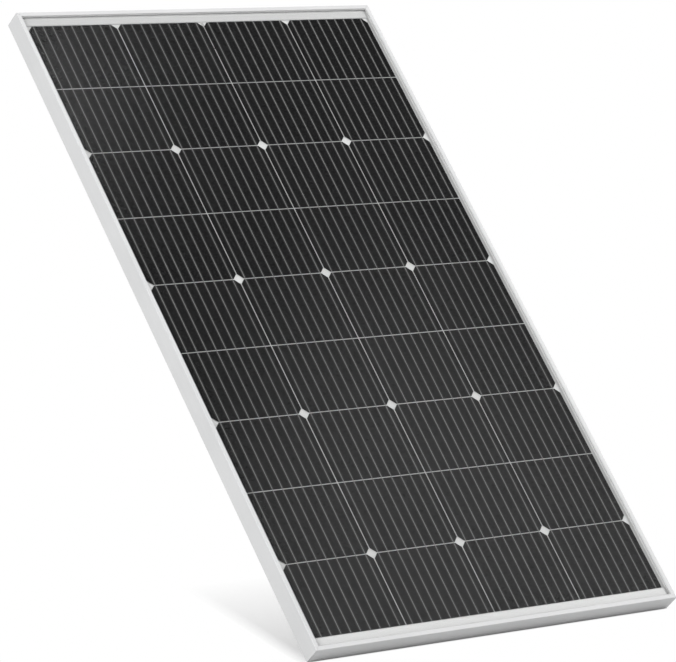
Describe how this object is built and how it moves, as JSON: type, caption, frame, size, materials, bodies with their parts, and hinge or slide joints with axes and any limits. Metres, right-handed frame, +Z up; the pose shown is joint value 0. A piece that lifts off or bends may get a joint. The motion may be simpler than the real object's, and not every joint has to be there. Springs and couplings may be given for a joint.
{
  "type": "solar panel",
  "caption": "Framed solar panel leaning back: mitred aluminium rails, glass over dark cut cells with white gaps, white back with a hinged junction box.",
  "frame": {"origin": "middle of the rear mounting plane, between the two long rails", "axes": "+Z up, +X to the right seen from the front, glass facing -Y and up; the panel leans back at 49 degrees to the floor"},
  "size_m": [0.666, 0.7637, 0.8722],
  "materials": {
    "anodised_aluminium": "clear anodised, satin",
    "corner_metal": "bare cast",
    "clear_glass": "low-iron toughened, lightly matt",
    "encapsulant": "clear laminated film",
    "white_encapsulant": "white laminated film",
    "white_backsheet": "white film",
    "sealant": "grey sealant",
    "silicon_cell": "coated monocrystalline silicon with solder ribbons",
    "tinned_copper": "tinned",
    "black_plastic": "moulded, fine grain",
    "diode_epoxy": "moulded epoxy"
  },
  "bodies": {
    "panel": {"frame_rail_left": "anodised_aluminium", "frame_rail_right": "anodised_aluminium", "frame_rail_top": "anodised_aluminium", "frame_rail_bottom": "anodised_aluminium", "corner_key_bottom_left": "corner_metal", "corner_key_bottom_right": "corner_metal", "corner_key_top_right": "corner_metal", "corner_key_top_left": "corner_metal", "front_glass": "clear_glass", "front_encapsulant": "encapsulant", "rear_encapsulant": "white_encapsulant", "backsheet": "white_backsheet", "edge_seal": "sealant", "cell_1_1": "silicon_cell", "cell_1_2": "silicon_cell", "cell_1_3": "silicon_cell", "cell_1_4": "silicon_cell", "cell_1_5": "silicon_cell", "cell_1_6": "silicon_cell", "cell_1_7": "silicon_cell", "cell_1_8": "silicon_cell", "cell_1_9": "silicon_cell", "cell_2_1": "silicon_cell", "cell_2_2": "silicon_cell", "cell_2_3": "silicon_cell", "cell_2_4": "silicon_cell", "cell_2_5": "silicon_cell", "cell_2_6": "silicon_cell", "cell_2_7": "silicon_cell", "cell_2_8": "silicon_cell", "cell_2_9": "silicon_cell", "cell_3_1": "silicon_cell", "cell_3_2": "silicon_cell", "cell_3_3": "silicon_cell", "cell_3_4": "silicon_cell", "cell_3_5": "silicon_cell", "cell_3_6": "silicon_cell", "cell_3_7": "silicon_cell", "cell_3_8": "silicon_cell", "cell_3_9": "silicon_cell", "cell_4_1": "silicon_cell", "cell_4_2": "silicon_cell", "cell_4_3": "silicon_cell", "cell_4_4": "silicon_cell", "cell_4_5": "silicon_cell", "cell_4_6": "silicon_cell", "cell_4_7": "silicon_cell", "cell_4_8": "silicon_cell", "cell_4_9": "silicon_cell", "bus_ribbon_top_left": "tinned_copper", "bus_ribbon_top_middle": "tinned_copper", "bus_ribbon_top_right": "tinned_copper", "bus_ribbon_bottom_left": "tinned_copper", "bus_ribbon_bottom_right": "tinned_copper", "junction_box_base": "black_plastic", "gland_nut_left": "black_plastic", "gland_nut_right": "black_plastic", "bypass_diode_left": "diode_epoxy", "bypass_diode_right": "diode_epoxy"},
    "lid": {"junction_box_lid": "black_plastic"}
  },
  "joints": [
    {"name": "lid_hinge", "type": "hinge", "parent": "panel", "child": "lid", "pos_m": [0, 0.33235, 0.39162], "axis": [1, 0, 0], "range_deg": [0, 110]}
  ]
}
